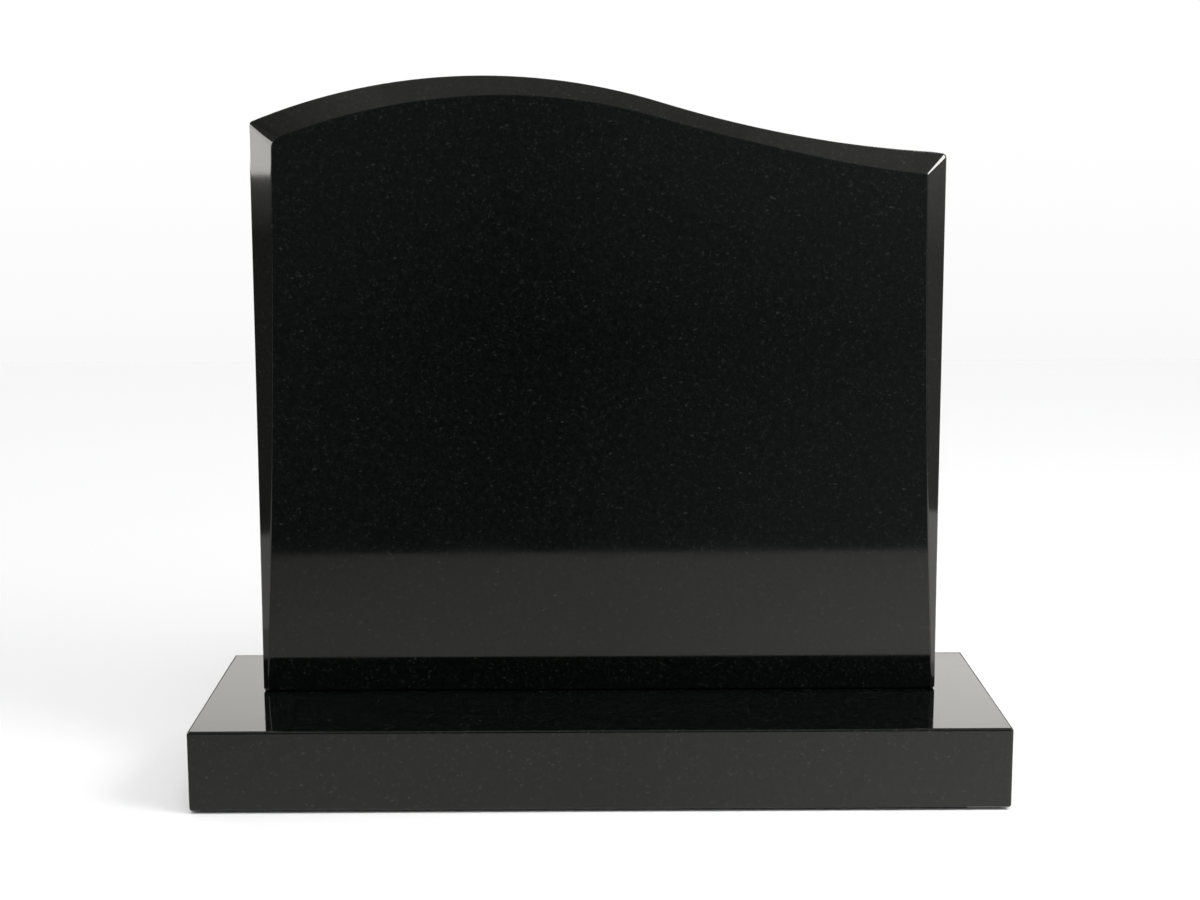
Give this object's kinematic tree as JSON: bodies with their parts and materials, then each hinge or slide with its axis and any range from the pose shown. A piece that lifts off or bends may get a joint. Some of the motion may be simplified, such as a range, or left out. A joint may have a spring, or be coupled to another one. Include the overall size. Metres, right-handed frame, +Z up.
{
  "type": "headstone",
  "caption": "Polished dark granite headstone: an upright tablet with a waved top and a bevelled face, standing on an oblong base.",
  "frame": {"origin": "middle of the base's underside, on the surface that it stands on", "axes": "+X to the right along the width as seen from the front, +Y from front to back, +Z up; the bevelled face looks along -Y"},
  "size_m": [0.762, 0.267, 0.6737],
  "materials": {
    "tablet_granite": "dark fine-grained granite, polished all over, with small pale flecks",
    "base_granite": "dark fine-grained granite, polished all over, with small pale flecks"
  },
  "bodies": {
    "root": {"tablet": "tablet_granite", "base": "base_granite"}
  },
  "joints": []
}
